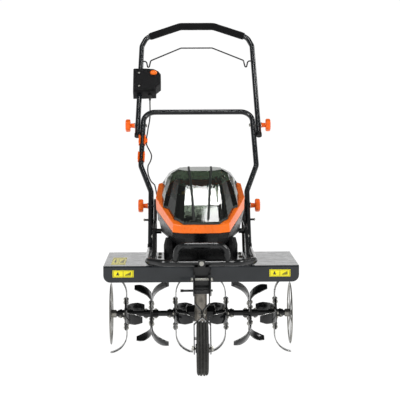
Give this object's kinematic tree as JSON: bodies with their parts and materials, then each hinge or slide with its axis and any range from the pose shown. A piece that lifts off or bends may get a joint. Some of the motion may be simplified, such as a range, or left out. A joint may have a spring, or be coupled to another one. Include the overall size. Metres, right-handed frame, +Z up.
{
  "type": "battery garden tiller",
  "caption": "Walk-behind battery tiller: worm-driven tine shaft under a folded fender, front transport wheel on a swing arm, rear depth stake and a folding tube handle with bail lever.",
  "frame": {"origin": "centre of the footprint of the machine's box, at ground level", "axes": "+Z up; -Y forward, towards the transport wheel; left and right are as seen from the front, so left is -X"},
  "size_m": [0.655, 1.3342, 1.181],
  "materials": {
    "black_paint": "gloss black powder coat",
    "charcoal_paint": "semi-gloss charcoal powder coat",
    "bright_steel": "zinc-plated steel",
    "case_alloy": "as-cast alloy",
    "orange_plastic": "moulded orange plastic",
    "black_plastic": "fine-grained black plastic",
    "smoked_plastic": "clear smoked plastic, polished",
    "cable_rubber": "matt black cable sheath",
    "tyre": "moulded solid tyre",
    "foam": "closed-cell foam sleeve",
    "bronze": "cast bronze"
  },
  "bodies": {
    "chassis": {"gearbox_case_left": "case_alloy", "gearbox_case_right": "case_alloy", "shaft_bearing_left": "bright_steel", "shaft_bearing_right": "bright_steel", "motor": "bright_steel", "housing_lower": "black_plastic", "orange_bezel": "orange_plastic", "battery_left": "black_plastic", "battery_right": "black_plastic", "fender": "charcoal_paint", "front_bumper": "black_paint", "upright_left": "black_paint", "upright_right": "black_paint", "wheel_bracket": "black_paint", "bracket_bolt": "bright_steel", "arm_pivot_bolt": "bright_steel", "stake_holder": "black_paint", "cable_lower": "cable_rubber"},
    "tines": {"tine_shaft": "black_paint", "worm_wheel": "bronze", "hub_inner_left": "black_paint", "hub_inner_right": "black_paint", "hub_middle_left": "black_paint", "hub_middle_right": "black_paint", "hub_outer_left": "black_paint", "hub_outer_right": "black_paint", "blades_inner_left": "black_paint", "blades_inner_right": "black_paint", "blades_middle_left": "black_paint", "blades_middle_right": "black_paint", "blades_outer_left": "black_paint", "blades_outer_right": "black_paint", "guard_disc_left": "bright_steel", "guard_disc_right": "bright_steel"},
    "worm": {"worm_shaft": "bright_steel"},
    "wheel_arm": {"fork_bar_left": "black_paint", "fork_bar_right": "black_paint", "fork_bolt": "bright_steel", "lock_pin": "black_paint", "wheel_axle": "bright_steel"},
    "wheel": {"wheel_rim": "black_plastic", "tyre": "tyre"},
    "lower_handle": {"lower_handle": "charcoal_paint", "cable_clip_upper": "orange_plastic", "cable_clip_lower": "orange_plastic", "cable_middle": "cable_rubber"},
    "upper_handle": {"upper_handle": "charcoal_paint", "foam_grip": "foam", "switch_box_front": "black_plastic", "switch_box_rear": "black_plastic", "cable_gland": "cable_rubber", "cable_upper": "cable_rubber"},
    "bail_lever": {"bail_lever": "black_paint"},
    "safety_button": {"safety_button": "orange_plastic"},
    "battery_cover": {"battery_cover": "smoked_plastic"},
    "depth_stake": {"depth_stake": "black_paint"},
    "clamp_knob_left": {"clamp_knob_left": "orange_plastic"},
    "clamp_knob_right": {"clamp_knob_right": "orange_plastic"},
    "fold_knob_left": {"fold_knob_left": "orange_plastic"},
    "fold_knob_right": {"fold_knob_right": "orange_plastic"}
  },
  "joints": [
    {"name": "tine_spin", "type": "hinge", "parent": "chassis", "child": "tines", "pos_m": [0, -0.18943, 0.138], "axis": [1, 0, 0], "continuous": true},
    {"name": "worm_spin", "type": "hinge", "parent": "chassis", "child": "worm", "pos_m": [0, -0.21793, 0.138], "axis": [0, 0, 1], "continuous": true},
    {"name": "wheel_arm_swing", "type": "hinge", "parent": "chassis", "child": "wheel_arm", "pos_m": [0, -0.50143, 0.3], "axis": [1, 0, 0], "range_deg": [-65, 0]},
    {"name": "wheel_spin", "type": "hinge", "parent": "wheel_arm", "child": "wheel", "pos_m": [0, -0.57943, 0.088], "axis": [1, 0, 0], "continuous": true},
    {"name": "lower_handle_tilt", "type": "hinge", "parent": "chassis", "child": "lower_handle", "pos_m": [0, 0.04217, 0.443], "axis": [1, 0, 0], "range_deg": [-12, 12], "deforming": ["cable_lower"]},
    {"name": "upper_handle_fold", "type": "hinge", "parent": "lower_handle", "child": "upper_handle", "pos_m": [0, 0.30151, 0.78097], "axis": [1, 0, 0], "range_deg": [-150, 0], "deforming": ["cable_upper"]},
    {"name": "bail_lever_pull", "type": "hinge", "parent": "upper_handle", "child": "bail_lever", "pos_m": [0, 0.48961, 1.02612], "axis": [1, 0, 0], "range_deg": [0, 28], "stiffness_Nm_per_rad": 1, "springref_deg": -17.19},
    {"name": "safety_button_push", "type": "slide", "parent": "upper_handle", "child": "safety_button", "axis": [0, 0.7934, -0.6088], "range_m": [0, 0.004], "stiffness_N_per_m": 400, "springref_m": -0.004},
    {"name": "cover_hinge", "type": "hinge", "parent": "chassis", "child": "battery_cover", "pos_m": [0, -0.03843, 0.59455], "axis": [-1, 0, 0], "range_deg": [0, 75]},
    {"name": "clamp_knob_left_turn", "type": "hinge", "parent": "lower_handle", "child": "clamp_knob_left", "pos_m": [-0.2, 0.08052, 0.49298], "axis": [1, 0, 0], "continuous": true},
    {"name": "fold_knob_left_turn", "type": "hinge", "parent": "upper_handle", "child": "fold_knob_left", "pos_m": [-0.25, 0.30151, 0.78097], "axis": [1, 0, 0], "continuous": true},
    {"name": "clamp_knob_right_turn", "type": "hinge", "parent": "lower_handle", "child": "clamp_knob_right", "pos_m": [0.2, 0.08052, 0.49298], "axis": [1, 0, 0], "continuous": true},
    {"name": "fold_knob_right_turn", "type": "hinge", "parent": "upper_handle", "child": "fold_knob_right", "pos_m": [0.25, 0.30151, 0.78097], "axis": [1, 0, 0], "continuous": true},
    {"name": "stake_slide", "type": "slide", "parent": "chassis", "child": "depth_stake", "axis": [0, 0, 1], "range_m": [0, 0.08]}
  ],
  "couplings": [
    {"joint": "worm_spin", "follows": "tine_spin", "ratio": 26}
  ]
}
